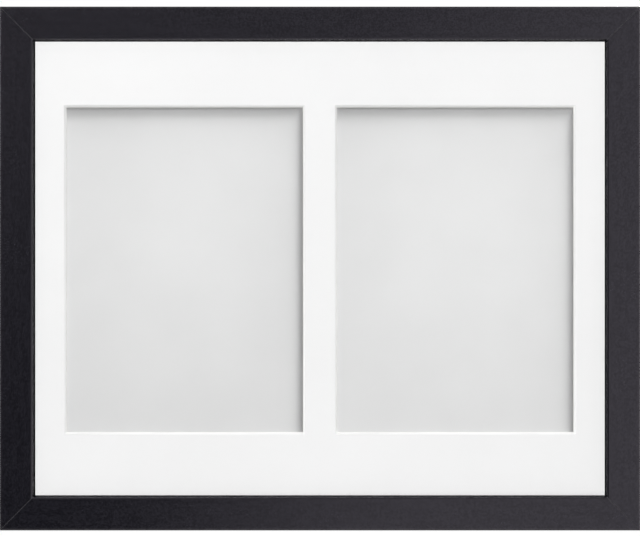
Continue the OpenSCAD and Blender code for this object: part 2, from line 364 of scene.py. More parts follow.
def satin_wrap(side):
    finish = Finish("satin_black_wrap_" + side, side, (0, 0, mid_z))
    reach, half_len = spans(side)
    peel = finish.noise(1060, detail=4, rough=0.68)
    drag = finish.noise(420, detail=2, at=finish.stretched(x=0.05))
    cloud = finish.noise(45, detail=2)
    film = finish.math("ADD", finish.math("MULTIPLY", peel, PEEL_SHARE),
                       finish.math("MULTIPLY", drag, DRAG_SHARE))
    colour = finish.blend(finish.ramp(film, film_low, film_high), WRAP_DARK, WRAP_LIGHT)
    across = finish.math("ADD", finish.axis("Z"), reach)
    depth = finish.math("SUBTRACT", finish.axis("Y"), front_y)
    outer = finish.math("MAXIMUM", across, depth)
    inner = finish.math("MAXIMUM", finish.math("SUBTRACT", rail_w, across), depth)
    handled = finish.vary(finish.noise(160, detail=4, rough=0.7), 0.25, 0.85)
    arris = finish.math("MAXIMUM", finish.ramp(outer, arris_rub, 0),
                        finish.ramp(inner, arris_rub, 0, 0, 0.25))
    rub = finish.math("MULTIPLY", arris, handled)
    to_end = finish.math("SUBTRACT", half_len, finish.math("ABSOLUTE", finish.axis("X")))
    to_joint = finish.math("SUBTRACT", to_end, across)
    scuff = finish.math("MULTIPLY", finish.ramp(to_joint, scuff_w, 0.6 * scuff_w),
                        finish.ramp(finish.noise(700, detail=2), 0.32, 0.6, 0.2, 1))
    rough = finish.math("ADD", finish.vary(film, 0.20, 0.26), finish.vary(cloud, 0, 0.02))
    worn = finish.blend(scuff, finish.blend(rub, colour, RUBBED), SCUFFED)
    return finish.done(
        Base_Color=worn, Roughness=rough,
        Specular_IOR_Level=finish.ramp(film, film_low, film_high, 0.44, 0.56),
        Specular_Tint=WRAP_SHEEN, Normal=finish.bump(film, 0.018 * MM))


print("the wrap is", round(100 * PEEL_SHARE), "% peel and", round(100 * DRAG_SHARE), "% drag")

# %% [markdown]
# ## Bare wood at the back
# Behind, the moulding is pale, fast grown wood that was sawn and never varnished. It shows long
# grain, short dark pores and cross scratches from the sander, and the black foil turns over its
# outer edge by a millimetre or so, not quite evenly. Noise stretched twenty times along the rail
# gives the grain, and a distance from the outer edge gives the foil's border.

# %% Bare wood
WOOD_PALE, WOOD_WARM, PORE = (0.60, 0.44, 0.28), (0.46, 0.31, 0.175), (0.22, 0.13, 0.07)
foil_turn = 1.3 * MM
foil_wander = 0.22 * MM
foil_edge = 0.08 * MM
mist_reach = 4 * MM


def bare_wood(side):
    finish = Finish("bare_pale_wood_" + side, side, (0, 0, mid_z))
    reach, _ = spans(side)
    rings = finish.noise(95, detail=4, rough=0.6, at=finish.stretched(x=0.035), bend=0.6)
    pores = finish.noise(900, detail=2, at=finish.stretched(x=0.06))
    sanded = finish.noise(1400, detail=1, at=finish.stretched(z=0.08))
    grain = finish.blend(finish.ramp(rings, 0.35, 0.65), WOOD_PALE, WOOD_WARM)
    pored = finish.blend(finish.ramp(pores, 0.66, 0.74, 0, 0.7), grain, PORE)
    across = finish.math("ADD", finish.axis("Z"), reach)
    wander = finish.vary(finish.noise(90, detail=3, rough=0.4), -foil_wander, foil_wander)
    foil = finish.ramp(
        finish.math("ADD", across, wander), foil_turn + foil_edge, foil_turn - foil_edge)
    mist = finish.math("MULTIPLY", finish.ramp(across, mist_reach, foil_turn),
                       finish.ramp(finish.noise(2600, detail=1), 0.62, 0.7))
    black = finish.math("MAXIMUM", foil, finish.math("MULTIPLY", mist, 0.6))
    relief = finish.math("SUBTRACT", finish.math("MULTIPLY", sanded, 0.3),
                         finish.ramp(pores, 0.62, 0.74))
    return finish.done(
        Base_Color=finish.blend(black, pored, WRAP_LIGHT),
        Roughness=finish.ramp(black, 0, 1, 0.72, 0.4), Specular_IOR_Level=0.35,
        Normal=finish.bump(relief, 0.06 * MM))


print("the foil turns over the edge by", round(foil_turn / MM, 1), "mm")

# %% [markdown]
# ## Edges of the foil
# Two narrow strips of a rail look different from its face. The wall beside the glass is dull, so
# it stays dark beside the white mount. The knife that trims the mitres leaves the foil's grey core
# bare along each joint, which draws the fine pale line at every corner.

# %% Sight wall and mitre line
LIP_BLACK, LIP_GREY = (0.010, 0.0095, 0.0115), (0.017, 0.0165, 0.019)
FOIL_CORE, FOIL_CORE_WORN = (0.032, 0.031, 0.034), (0.012, 0.012, 0.013)


def dull_lip():
    finish = Finish("dull_black_lip")
    fleck = finish.noise(1500, detail=2)
    return finish.done(
        Base_Color=finish.blend(finish.ramp(fleck, 0.4, 0.7), LIP_BLACK, LIP_GREY),
        Roughness=0.9, Specular_IOR_Level=0.0, Normal=finish.bump(fleck, 0.03 * MM))


def foil_core():
    finish = Finish("cut_foil_edge")
    nick = finish.noise(900, detail=3, rough=0.7)
    return finish.done(
        Base_Color=finish.blend(finish.ramp(nick, 0.45, 0.7), FOIL_CORE, FOIL_CORE_WORN),
        Roughness=0.6, Specular_IOR_Level=0.25, Normal=finish.bump(nick, 0.04 * MM))


LIP_FINISH, CORE_FINISH = dull_lip(), foil_core()
print("made", LIP_FINISH.name, "and", CORE_FINISH.name)

# %% [markdown]
# ## The moulding
# A picture moulding is an L in section: a wide face, and behind it a rebate that takes the pack.
# The section starts as six points. Each outer corner is rounded by a vertex bevel while it is still
# one flat face, then the face is extruded past the rail's length. Extruding a finished section
# keeps every arris even from end to end. Two slanted planes saw the mitres later, when the slots
# are in: a slot's corner lies right on the mitre, and a plane meets it more cleanly than a Boolean.

# %% Length of moulding
sight_r = 1.2 * MM
outer_r = 0.8 * MM
sawn_r = 0.35 * MM


def moulding(length):
    """A square-ended length of moulding, longer than its rail by a rail's width at each end."""
    rail = bmesh.new()
    start = -length / 2 - rail_w
    section = [
        (front_y, 0, outer_r), (front_y, rail_w, sight_r), (glass_y, rail_w, sawn_r / 2),
        (glass_y, land_w, 0), (back_y, land_w, sawn_r), (back_y, 0, sawn_r)]
    corners = [rail.verts.new((start, y, z)) for y, z, _ in section]
    rail.faces.new(corners)
    for corner, (_, _, radius) in zip(corners, section):
        if radius:
            rounded(rail, [corner], radius, 8 if radius > sawn_r else 3, "VERTICES")
    grown = bmesh.ops.extrude_face_region(rail, geom=rail.faces[:])
    far_end = only(BMVert, grown["geom"])
    bmesh.ops.translate(rail, vec=(length + 2 * rail_w, 0, 0), verts=far_end)
    return rail


def saw_mitres(rail, length):
    """Saws both ends of a moulding that lies on the bottom side, and closes them."""
    for end in (-1, 1):
        sawn = sliced(rail, (end * length / 2, 0, 0), (end, 0, 1), dist=sliver, clear_outer=True)
        bmesh.ops.contextual_create(rail, geom=only(BMEdge, sawn["geom_cut"]))
    return rail


print("the moulding's lip laps", round((rail_w - land_w) / MM, 1), "mm in front of the pack's room")

# %% [markdown]
# ## What the joiner cuts
# The corners are held by V-nails, each a bent strip of steel pressed in from the back. Pilot holes
# take the screws, and the front of every mitre is eased by a tiny V so that the corners don't
# splinter. One tool holds all of these cuts, mirrored to the four corners, and each rail takes from
# it only what lies in its own wood. Every tool runs a millimetre over, past the wood's surface.

# %% Corner cuts
nail_t = 0.6 * MM
nail_arm = 5 * MM
nail_fit = 0.05 * MM
nail_shares = (0.3, 0.7)
ease = 0.14 * MM
over = 1 * MM


def nail_slot(share):
    """The L-shaped slot of one V-nail at the lower left corner: a block with an arm pulled up."""
    low = share * land_w - nail_t / 2 - nail_fit
    thin, long = nail_t + 2 * nail_fit, nail_arm + 2 * nail_fit
    nail_low, nail_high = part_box("v_nails")
    corner = (-half_w + low, nail_low.y - nail_fit, low)
    slot = block(corner, (corner[0] + long, nail_high.y + over, low + thin))
    sliced(slot, (corner[0] + thin, 0, 0), (1, 0, 0))
    slot.normal_update()
    side = [face for face in slot.faces
            if face.normal.z > 0.9 and face.calc_center_median().x < corner[0] + thin]
    arm = bmesh.ops.extrude_face_region(slot, geom=side)
    bmesh.ops.translate(slot, vec=(0, 0, long - thin), verts=only(BMVert, arm["geom"]))
    bmesh.ops.delete(slot, geom=side, context="FACES")
    return slot


def mitre_ease():
    """A square bar on edge along the lower left mitre, half sunk in the rails' front."""
    edge = ease * math.sqrt(2)
    bar = block((-edge, -edge / 2, -edge / 2), (2 * rail_w, edge / 2, edge / 2))
    return moved(bar, shift(-half_w, front_y) @ spin(-45) @ spin(45, "X"))


def corner_cuts():
    """The slots and eased mitres of all four corners."""
    corner = joined(*(nail_slot(share) for share in nail_shares), mitre_ease())
    moved(corner, shift(z=-mid_z))
    for axis in "XZ":
        bmesh.ops.mirror(corner, geom=everything(corner), merge_dist=same_point, axis=axis)
    return moved(corner, shift(z=mid_z))


print("each corner has", len(nail_shares), "V-nails")

# %% [markdown]
# ## Where the screws go
# Every turn button turns on a screw, and each hanger has one more. Their places are the middles of
# the joints and of the hanger screws' own boxes, so the holes, the screws and the plates can't
# drift apart.

# %% Screw places and pilot holes
screw_r = 1.5 * MM
screw_fit = 0.05 * MM
hanger_low, hanger_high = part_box("hanger_screws")
pan_r = hanger_high.x - pivots["right_ring"].x
hanger_screw_z = (hanger_low.z + hanger_high.z) / 2
button_pivots = {body: spot for body, spot in pivots.items() if body.endswith("button")}
screw_low, screw_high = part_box("button_screws")
screw_spots = [(spot.x, spot.z) for spot in button_pivots.values()]
hanger_spots = [(side * pivots["right_ring"].x, hanger_screw_z) for side in (-1, 1)]


def pilot_holes():
    def hole(spots, tip_y):
        bar = along_y(screw_r + screw_fit, tip_y - screw_fit, back_y + over)
        return copies(bar, [shift(x, 0, z) for x, z in spots])
    return joined(hole(screw_spots, screw_low.y), hole(hanger_spots, hanger_low.y))


print(len(screw_spots), "button screws and", len(hanger_spots), "hanger screws")

# %% [markdown]
# ## The four rails
# Each length of moulding is turned to its side and cut with the joint tool, and its mitres are sawn
# afterwards. The faces then get their finish by where they point in the rail's own coordinates: the
# wrap on the outside, the dull wall beside the glass, the cut foil along the mitres and bare wood
# behind. That is quicker and surer than picking faces by number, which change with every cut.

# %% Rails
WRAP, WOOD, LIP, CORE = range(4)


def rail_finish(face):
    """Which finish a face of a rail takes, read with the rail laid on the bottom side."""
    normal, centre = face.normal, face.calc_center_median()
    if normal.y < -0.3 and abs(normal.x) > 0.3:
        return CORE
    sight_wall = normal.z > 0.2 and front_y + sight_r < centre.y < glass_y
    lip_back = normal.y > 0.9 and centre.y < mount_y
    if sight_wall or lip_back:
        return LIP
    if normal.y > 0.3 or abs(normal.x) > 0.3 or centre.y > glass_y and normal.z > -0.5:
        return WOOD
    slotted = centre.z > sawn_r and centre.y > front_y + 2 * sight_r
    return WOOD if slotted else WRAP


def make_rail(side):
    length = 2 * spans(side)[1]
    there = on_side(side)
    rail = cut(moved(moulding(length), there), joined(corner_cuts(), pilot_holes()))
    saw_mitres(moved(rail, there.inverted()), length)
    rail.normal_update()
    for face in rail.faces:
        face.material_index = rail_finish(face)
    moved(rail, there)
    finishes = [satin_wrap(side), bare_wood(side), LIP_FINISH, CORE_FINISH]
    return make_piece(side + "_rail_moulding", rail, "frame", finishes, side + "_rail")


rails = [make_rail(side) for side in TURNS]

# %% [markdown]
# ## Corner nails
# The V-nails are strips of rolled steel, sheared to length. They sit just below the back, so only
# their bright top edges show. The measured solids already have the right shape and keep it, and
# only get a finish: steel with the fine lines of the rolls, which run along the strip.

# %% Corner nails
def rolled_steel():
    finish = Finish("rolled_steel")
    lines = finish.noise(5000, detail=2, at=finish.stretched(y=0.05))
    stain = finish.noise(500, detail=3)
    colour = finish.blend(finish.ramp(stain, 0.4, 0.7), (0.56, 0.56, 0.57), (0.36, 0.35, 0.34))
    return finish.done(
        Base_Color=colour, Metallic=1.0, Roughness=finish.vary(lines, 0.25, 0.45),
        Normal=finish.bump(lines, 0.01 * MM))


def refinish(node, finish):
    """Gives a measured part its finish and leaves its shape alone."""
    part = frame["nodes"][node]
    part.data.materials.clear()
    part.data.materials.append(finish)
    print(node, "is finished in", finish.name)


refinish("v_nails", rolled_steel())

# %% [markdown]
# ## Glass
# Picture glass is two flat faces, two millimetres apart, with a faint reflection on each. A full
# glass shader bends the light and blocks the lamps, which would leave the mount grey, so each face
# is mostly a Transparent shader. A polished gloss takes over towards low angles, as on the real
# sheet. Its share grows with the fifth power of the facing angle, the same on both faces, because a
# Fresnel node turns the back face into a mirror when the light isn't bent on its way in.

# %% Glass
straight_shine = 0.01


def picture_glass():
    finish = Finish("clear_picture_glass")
    clear = finish.add("BsdfTransparent", {"Color": (0.997, 0.997, 0.997, 1)})
    polish = finish.vary(finish.noise(30, detail=2), 0.015, 0.03)
    gloss = finish.add("BsdfGlossy", {"Color": (1, 1, 1, 1), "Roughness": polish})
    facing = finish.add("LayerWeight", {"Blend": 0.5}).outputs["Facing"]
    shine = finish.math("ADD", finish.math("POWER", facing, 5.0), straight_shine)
    pane = finish.add("MixShader", {0: shine, 1: clear.outputs[0], 2: gloss.outputs[0]})
    finish.add("OutputMaterial", {"Surface": pane.outputs[0]})
    return finish.material


refinish("glazing", picture_glass())

# %% [markdown]
# ## White window mount
# Mount board is a thick white core with smooth white paper on its face and a plainer liner behind.
# Each of the three has its own white: the paper is even and slightly felted, the core shows its
# plies along the cut, and the liner is creamier with dark flecks.

# %% Mount board finishes
def face_paper():
    finish = Finish("white_face_paper")
    felt = finish.noise(1300, detail=4, rough=0.6)
    cloud = finish.noise(14, detail=2)
    colour = finish.blend(finish.vary(cloud), (0.922, 0.922, 0.922), (0.934, 0.934, 0.934))
    fibre = finish.ramp(felt, 0.35, 0.65)
    return finish.done(
        Base_Color=colour, Roughness=finish.vary(felt, 0.62, 0.74), Specular_IOR_Level=0.25,
        Normal=finish.bump(fibre, 0.012 * MM))


def board_core():
    finish = Finish("white_board_core")
    plies = finish.noise(1800, detail=3, rough=0.6, at=finish.stretched(x=0.06, z=0.06))
    nick = finish.noise(700, detail=2)
    colour = finish.blend(finish.ramp(plies, 0.35, 0.65), (0.935, 0.935, 0.932), (0.975, 0.975, 0.972))
    return finish.done(
        Base_Color=colour, Roughness=0.85, Specular_IOR_Level=0.1,
        Normal=finish.bump(finish.math("ADD", plies, nick), 0.02 * MM))


def liner_paper():
    finish = Finish("plain_liner_paper")
    fleck = finish.noise(2200, detail=2)
    colour = finish.blend(finish.ramp(fleck, 0.62, 0.72), (0.84, 0.83, 0.79), (0.66, 0.62, 0.55))
    return finish.done(Base_Color=colour, Roughness=0.85, Normal=finish.bump(fleck, 0.02 * MM))


MOUNT_FINISHES = [face_paper(), board_core(), liner_paper()]
print("mount board:", ", ".join(finish.name for finish in MOUNT_FINISHES))

# %% [markdown]
# ## Windows cut with a slanted blade
# The windows are cut with a slanted blade, so the core shows as a bevel all round each one, and the
# face paper as a hair line along its top. The measured solid has the right planes, so a copy of it
# is merged into clean faces and sliced at the paper's depth, which no texture could line up as well.
# Its face stays a nap's depth off the glass, so that the two faces don't lie in one plane.

# %% Window mount
FACE, BEVEL, LINER = range(3)
paper_t = 0.18 * MM
paper_nap = 0.03 * MM


def merged_copy(node):
    """A copy of a measured part with its points merged and its flat faces made whole."""
    copy = bmesh.new()
    copy.from_mesh(frame["nodes"][node].data)
    bmesh.ops.remove_doubles(copy, verts=copy.verts, dist=sliver)
    bmesh.ops.dissolve_limit(copy, angle_limit=math.radians(1), verts=copy.verts, edges=copy.edges)
    copy.normal_update()
    return copy


def make_mount():
    board = merged_copy("window_mount")
    high_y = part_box("window_mount")[1].y
    for vert in board.verts:
        vert.co.y = max(vert.co.y, mount_y + paper_nap)
    for depth in (mount_y + paper_t, high_y - paper_t):
        sliced(board, (0, depth, 0), (0, 1, 0))
    board.normal_update()
    for face in board.faces:
        middle = face.calc_center_median().y
        face.material_index = BEVEL
        if middle < mount_y + paper_t:
            face.material_index = FACE
        elif middle > high_y - paper_t:
            face.material_index = LINER
    return make_piece(
        "window_mount_board", board, "frame", MOUNT_FINISHES, "window_mount")


mount = make_mount()

# %% [markdown]
# ## The two prints
# Behind each window lies a blank sheet of satin photo paper in a soft neutral grey. Painted into
# that grey is a soft pool of light a little above the sheet's middle, with painted shade that
# darkens it towards its edges, most of all at its foot. Its faint mottling comes from the coating,
# which also breaks its sheen. The measured sheets are right as they are. The gummed hinges that hang
# them are cream paper with visible fibres.

# %% Prints and hinges
# The first colour is the sheet's grey under a painted pool of light, the second the same grey in
# painted shade.
PRINT_PAINTED_LIT, PRINT_PAINTED_SHADED = (0.815, 0.817, 0.817), (0.705, 0.706, 0.706)
print_x = sum(corner.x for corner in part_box("right_print")) / 2
painted_light_z = 45 * MM
painted_shade_at = 150 * MM
painted_light_tallness = 0.79


def satin_paper():
    finish = Finish("grey_satin_paper_painted_light", centre=(0, 0, mid_z + painted_light_z))
    coat = finish.noise(900, detail=3)
    cloud = finish.noise(22, detail=3, rough=0.6)
    off_middle = finish.math("SUBTRACT", finish.math("ABSOLUTE", finish.axis("X")), print_x)
    off_painted_light = finish.math("MULTIPLY", finish.axis("Z"), painted_light_tallness)
    away = finish.math("SQRT", finish.math(
        "ADD", finish.math("POWER", off_middle, 2.0), finish.math("POWER", off_painted_light, 2.0)))
    # The grey is painted paler near a point a little above the sheet's middle and darker away from it:
    # painted light and shade.
    shade = finish.math("ADD", finish.ramp(away, 0, painted_shade_at), finish.vary(cloud, -0.1, 0.1))
    colour = finish.blend(shade, PRINT_PAINTED_LIT, PRINT_PAINTED_SHADED)
    return finish.done(
        Base_Color=colour, Roughness=finish.vary(coat, 0.5, 0.62), Specular_IOR_Level=0.3,
        Normal=finish.bump(coat, 0.006 * MM))


def gummed_paper():
    finish = Finish("cream_gummed_paper")
    fibre = finish.noise(1600, detail=3, at=finish.stretched(x=0.3), bend=1)
    colour = finish.blend(finish.ramp(fibre, 0.4, 0.66), (0.80, 0.74, 0.60), (0.88, 0.84, 0.73))
    return finish.done(Base_Color=colour, Roughness=0.6, Normal=finish.bump(fibre, 0.02 * MM))


GREY_PAPER = satin_paper()
for node in ("left_print", "right_print"):
    refinish(node, GREY_PAPER)
refinish("print_hinges", gummed_paper())

# %% [markdown]
# ## Card and fibreboard
# A plain card backs the prints, and a pressed brown fibreboard closes the frame. Fibreboard is
# refined wood: short fibres lie every way, and a few dark ones stand out. Two noises, stretched
# along and across, cross each other for the fibres.

# %% Card and fibreboard finishes
def plain_card():
    finish = Finish("plain_card")
    fleck = finish.noise(1900, detail=2)
    cloud = finish.noise(60, detail=3)
    colour = finish.blend(finish.vary(cloud), (0.80, 0.78, 0.71), (0.86, 0.84, 0.78))
    return finish.done(
        Base_Color=finish.blend(finish.ramp(fleck, 0.66, 0.74), colour, (0.52, 0.47, 0.38)),
        Roughness=0.88, Normal=finish.bump(fleck, 0.03 * MM))


def pressed_fibreboard():
    finish = Finish("pressed_brown_fibreboard")
    fibre_up = finish.noise(700, detail=3, at=finish.stretched(x=0.35), bend=1.5)
    fibre_along = finish.noise(700, detail=3, at=finish.stretched(z=0.35), bend=1.5)
    fibres = finish.math("MAXIMUM", fibre_up, fibre_along)
    cloud = finish.noise(18, detail=4, rough=0.65)
    shive = finish.ramp(finish.noise(420, detail=2, bend=3), 0.66, 0.72)
    board = finish.blend(finish.ramp(fibres, 0.45, 0.72), (0.27, 0.165, 0.088), (0.42, 0.285, 0.165))
    clouded = finish.blend(finish.ramp(cloud, 0.35, 0.7, 0, 0.45), board, (0.33, 0.21, 0.118))
    return finish.done(
        Base_Color=finish.blend(finish.math("MULTIPLY", shive, 0.55), clouded, (0.12, 0.07, 0.038)),
        Roughness=finish.ramp(fibres, 0.4, 0.75, 0.78, 0.56), Specular_IOR_Level=0.35,
        Normal=finish.bump(fibres, 0.05 * MM))


CARD, FIBREBOARD = plain_card(), pressed_fibreboard()
print("made", CARD.name, "and", FIBREBOARD.name)

# %% [markdown]
# ## The boards behind the prints
# The card keeps its measured shape. The board is a merged copy of the measured one with its edges
# eased by a bevel, because a sawn board never has a razor edge.

# %% Card and fibreboard
board_ease = 0.3 * MM
refinish("undermount", CARD)
board = merged_copy("backing_board")
rounded(board, board.edges[:], board_ease, 2)
make_piece("backing_board_panel", board, "frame", [FIBREBOARD], "backing_board")

# %% [markdown]
# ## Plated metal
# The fittings are pressed from nickel plated sheet, and the screws are zinc plated. Metal takes
# nearly all its colour from the room, so its finish is in the small things: fine tumbling scratches
# in every direction, a grain from the rolls and dull spots in the plating. Each finish is one recipe
# with its own tint and roughness.

# %% Plated finishes
def plated(name, bright, dull, smooth, rough, grain=(1, 1, 1), spots=260):
    finish = Finish(name)
    scratch = finish.noise(3200, detail=3, rough=0.6, at=finish.stretched(*grain))
    spot = finish.noise(spots, detail=4, rough=0.6)
    stain = finish.ramp(spot, 0.42, 0.72)
    uneven = finish.math("ADD", finish.vary(scratch, smooth, rough),
                         finish.ramp(spot, 0.4, 0.8, 0, 0.12))
    return finish.done(
        Base_Color=finish.blend(stain, bright, dull), Metallic=1.0, Roughness=uneven,
        Normal=finish.bump(scratch, 0.008 * MM))


NICKEL_SHEET = plated("nickel_plated_sheet", (0.74, 0.72, 0.68), (0.60, 0.57, 0.52), 0.24, 0.36)
ZINC = plated("zinc_plated_screw", (0.73, 0.73, 0.71), (0.55, 0.55, 0.50), 0.28, 0.42, spots=700)
NICKEL_WIRE = plated("nickel_plated_wire", (0.76, 0.745, 0.71), (0.62, 0.59, 0.54), 0.16, 0.28,
                     grain=(0.2, 1, 1))
print("plated finishes:", NICKEL_SHEET.name, ZINC.name, NICKEL_WIRE.name)

# %% [markdown]
# ## Turn buttons
# A turn button is a small pressed plate: a round head on its screw and a narrower tongue that
# holds the board in, its end lifted for a finger. Two discs inside one convex hull give that
# outline with its straight tangent sides, which is quicker than working out where they touch. A
# slice across the tongue marks the bend, the end is leaned up beyond it, and the rim is softened.

# %% Turn button
button_low, button_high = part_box("bottom_left_turn_button")
button_spot = pivots["bottom_left_button"]
head_r = button_spot.z - button_low.z
button_reach = button_high.z - button_spot.z
tip_r = 3.4 * MM
lift_len = 3.5 * MM
lift_h = 1.2 * MM
sheet_t = button_high.y - button_low.y - lift_h
bend_half = 0.5 * MM
rim_ease = 0.18 * MM


def button_plate():
    """A turn button with its tongue up and its underside at y = 0."""
    tip = moved(along_y(tip_r, 0, sheet_t, 48), shift(z=button_reach - tip_r))
    plate = joined(along_y(head_r, 0, sheet_t, 48), tip)
    hull = bmesh.ops.convex_hull(plate, input=plate.verts)
    spare = set(hull["geom_interior"] + hull["geom_unused"])
    kept = set(only(BMFace, hull["geom"]))
    bmesh.ops.delete(plate, geom=[face for face in plate.faces if face not in kept], context="FACES")
    loose = [vert for vert in plate.verts if vert in spare or not vert.link_faces]
    bmesh.ops.delete(plate, geom=loose, context="VERTS")
    bmesh.ops.dissolve_limit(plate, angle_limit=math.radians(1), verts=plate.verts, edges=plate.edges)
    plate = cut(plate, along_y(screw_r + screw_fit, -over, sheet_t + over))
    bend_z = button_reach - lift_len
    for line in (bend_z - bend_half, bend_z, bend_z + bend_half):
        sliced(plate, (0, 0, line), (0, 0, 1))
    for vert in plate.verts:
        past = max(0, vert.co.z - bend_z) / lift_len
        vert.co.y += lift_h * past
    return plate


def soft_rim(plate):
    """Eases the sharp edges round a plate."""
    plate.normal_update()
    rim = [edge for edge in plate.edges if edge.calc_face_angle(0) > math.radians(60)]
    rounded(plate, rim, rim_ease, 3, clamp=True)
    return plate


def button_side(body):
    """The side of the frame that a turn button is on, from its body's name."""
    return next(side for side in TURNS if body.startswith(side))


for body, spot in button_pivots.items():
    there = shift(spot.x, button_low.y, spot.z) @ spin(TURNS[button_side(body)])
    plate = moved(soft_rim(button_plate()), there)
    make_piece(body + "_plate", plate, body, [NICKEL_SHEET],
               body.replace("_button", "_turn_button"))

# %% [markdown]
# ## Turned on a lathe
# Screws and bumpers are round, so half of an outline is drawn once and spun about its own axis. The
# outline's corners are rounded while it is still one flat face, which keeps each rounding even.

# %% Turned shapes
def turned_shape(outline, rounds, steps=40):
    """Spins half an outline of (radius, y) about the Y axis. rounds gives the corners' radii."""
    shape = bmesh.new()
    corners = [shape.verts.new((radius, y, 0)) for radius, y in outline]
    shape.faces.new(corners)
    for number, radius in rounds.items():
        rounded(shape, [corners[number]], radius, 6, "VERTICES")
    bmesh.ops.delete(shape, geom=shape.faces[:], context="FACES_ONLY")
    on_axis = [edge for edge in shape.edges if all(vert.co.x < same_point for vert in edge.verts)]
    bmesh.ops.delete(shape, geom=on_axis, context="EDGES_FACES")
    bmesh.ops.spin(
        shape, geom=shape.verts[:] + shape.edges[:], cent=(0, 0, 0), axis=(0, 1, 0),
        angle=math.tau, steps=steps, use_merge=True)
    bmesh.ops.remove_doubles(shape, verts=shape.verts, dist=same_point)
    return shape


print("outlines are spun by", turned_shape.__name__)

# %% [markdown]
# ## Screws
# A pan head screw has a domed head over a straight shank and a short cone for its point. The cross
# recess is pressed in by a tapered punch: a cross with its foot smaller than its top. Each screw
# stops at its own angle, because nobody lines them up.

# %% Screws
screw_len = 11 * MM
point_len = 2.5 * MM
pan_h = screw_high.y - screw_low.y - screw_len
dome_r, brim_r = 1.1 * MM, 0.12 * MM
recess_len = 3.0 * MM
recess_w = 0.75 * MM
recess_depth = 1.1 * MM
recess_taper = 0.62
FIRST_STOP, STOP_STEP = 12, 37


def cross_punch():
    """The tapered cross that presses the recess, its foot smaller than its top."""
    punch = bmesh.new()
    reach, thin = recess_len / 2, recess_w / 2
    corners = []
    for quarter in range(4):
        for x, z in ((reach, thin), (reach, -thin), (thin, -thin)):
            corners.append(punch.verts.new(spin(90 * quarter) @ Vector((x, pan_h + over, z))))
    punch.faces.new(corners)
    grown = bmesh.ops.extrude_face_region(punch, geom=punch.faces[:])
    foot = only(BMVert, grown["geom"])
    bmesh.ops.translate(punch, vec=(0, -recess_depth - over, 0), verts=foot)
    bmesh.ops.scale(punch, vec=(recess_taper, 1, recess_taper), verts=foot)
    return punch


def screw():
    """A pan head screw along Y, the underside of its head at y = 0."""
    outline = [
        (0, pan_h), (pan_r, pan_h), (pan_r, 0), (screw_r, 0),
        (screw_r, point_len - screw_len), (0, -screw_len)]
    return cut(turned_shape(outline, {1: dome_r, 2: brim_r}), cross_punch())


def make_screws(name, spots, under_y, node):
    places = [shift(x, under_y, z) @ spin(STOP_STEP * number + FIRST_STOP)
              for number, (x, z) in enumerate(spots)]
    make_piece(name, copies(screw(), places), "frame", [ZINC], node)


make_screws("turn_button_screws", screw_spots, screw_high.y - pan_h, "button_screws")
make_screws("hanger_pan_screws", hanger_spots, hanger_high.y - pan_h, "hanger_screws")

# %% [markdown]
# ## Hanger straps
# Each D-ring hangs in a strip of sheet that is folded round its bar. The strip's line is swept as
# an edge: up from the lower end, round the bar, back through a small reverse bend and down on
# itself. A Solidify modifier gives it the sheet's thickness, and a rounded outline trims both
# layers at once, as the press does. One solid block would hide the fold that makes it a hanger.

# %% Hanger strap
strap_low, strap_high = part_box("right_hanger_strap")
eye = pivots["right_ring"]
strap_w = strap_high.x - strap_low.x
strap_t = 0.8 * MM
layer_gap = 0.03 * MM
eye_r = strap_high.z - eye.z
fold_r = eye_r - strap_t / 2
neck_r = 0.8 * MM
clear = 4 * MM
strap_end_z = strap_low.z - eye.z


def swept(line, geom, centre, angle, steps):
    """Sweeps an edge about the X axis, and gives back its last place."""
    swung = bmesh.ops.spin(line, geom=geom, cent=centre, axis=(1, 0, 0), angle=angle, steps=steps)
    return swung["geom_last"]


def drawn(line, geom, vector):
    """Pulls an edge out into a flat face, and gives back its last place."""
    pulled = bmesh.ops.extrude_edge_only(line, edges=only(BMEdge, geom))["geom"]
    verts = only(BMVert, pulled)
    bmesh.ops.translate(line, vec=vector, verts=verts)
    return [part for part in only((BMVert, BMEdge), pulled)
            if part in verts or all(vert in verts for vert in part.verts)]


def folded_strip():
    """The folded strip about its eye at the origin, as a closed mesh."""
    line = bmesh.new()
    ends = [line.verts.new((x, -fold_r, strap_end_z)) for x in (-strap_w / 2, strap_w / 2)]
    first = [*ends, line.edges.new(ends)]
    top = drawn(line, first, (0, 0, -strap_end_z))
    neck_y = -fold_r + strap_t + layer_gap + neck_r
    neck_z = -math.sqrt((fold_r + neck_r) ** 2 - neck_y ** 2)
    wrap = math.pi + math.atan2(-neck_z, neck_y)
    wrapped = swept(line, top, (0, 0, 0), -wrap, 36)
    bent = swept(line, wrapped, (0, neck_y, neck_z), wrap - math.pi, 10)
    drawn(line, bent, (0, 0, strap_end_z - neck_z))
    bmesh.ops.remove_doubles(line, verts=line.verts, dist=same_point)
    return worked(as_object("strip", line), "SOLIDIFY", thickness=strap_t - layer_gap, offset=0,
                  use_even_offset=True)


def trimmed_strap():
    """The strip trimmed to a round lower end, drilled and eased."""
    drop = hanger_screw_z - eye.z
    round_end = moved(along_y(strap_w / 2, -clear, clear, 64), shift(z=drop))
    above = block((-strap_w / 2 - over, -clear, drop), (strap_w / 2 + over, clear, clear))
    strap = cut(folded_strip(), cut(above, round_end, "UNION"), "INTERSECT")
    bore = moved(along_y(screw_r + screw_fit, -clear, 0), shift(z=drop))
    return soft_rim(cut(strap, bore))


for side, name in ((-1, "left"), (1, "right")):
    strap = moved(trimmed_strap(), shift(side * eye.x, eye.y, eye.z))
    make_piece(name + "_folded_strap", strap, "frame", [NICKEL_SHEET],
               name + "_hanger_strap")

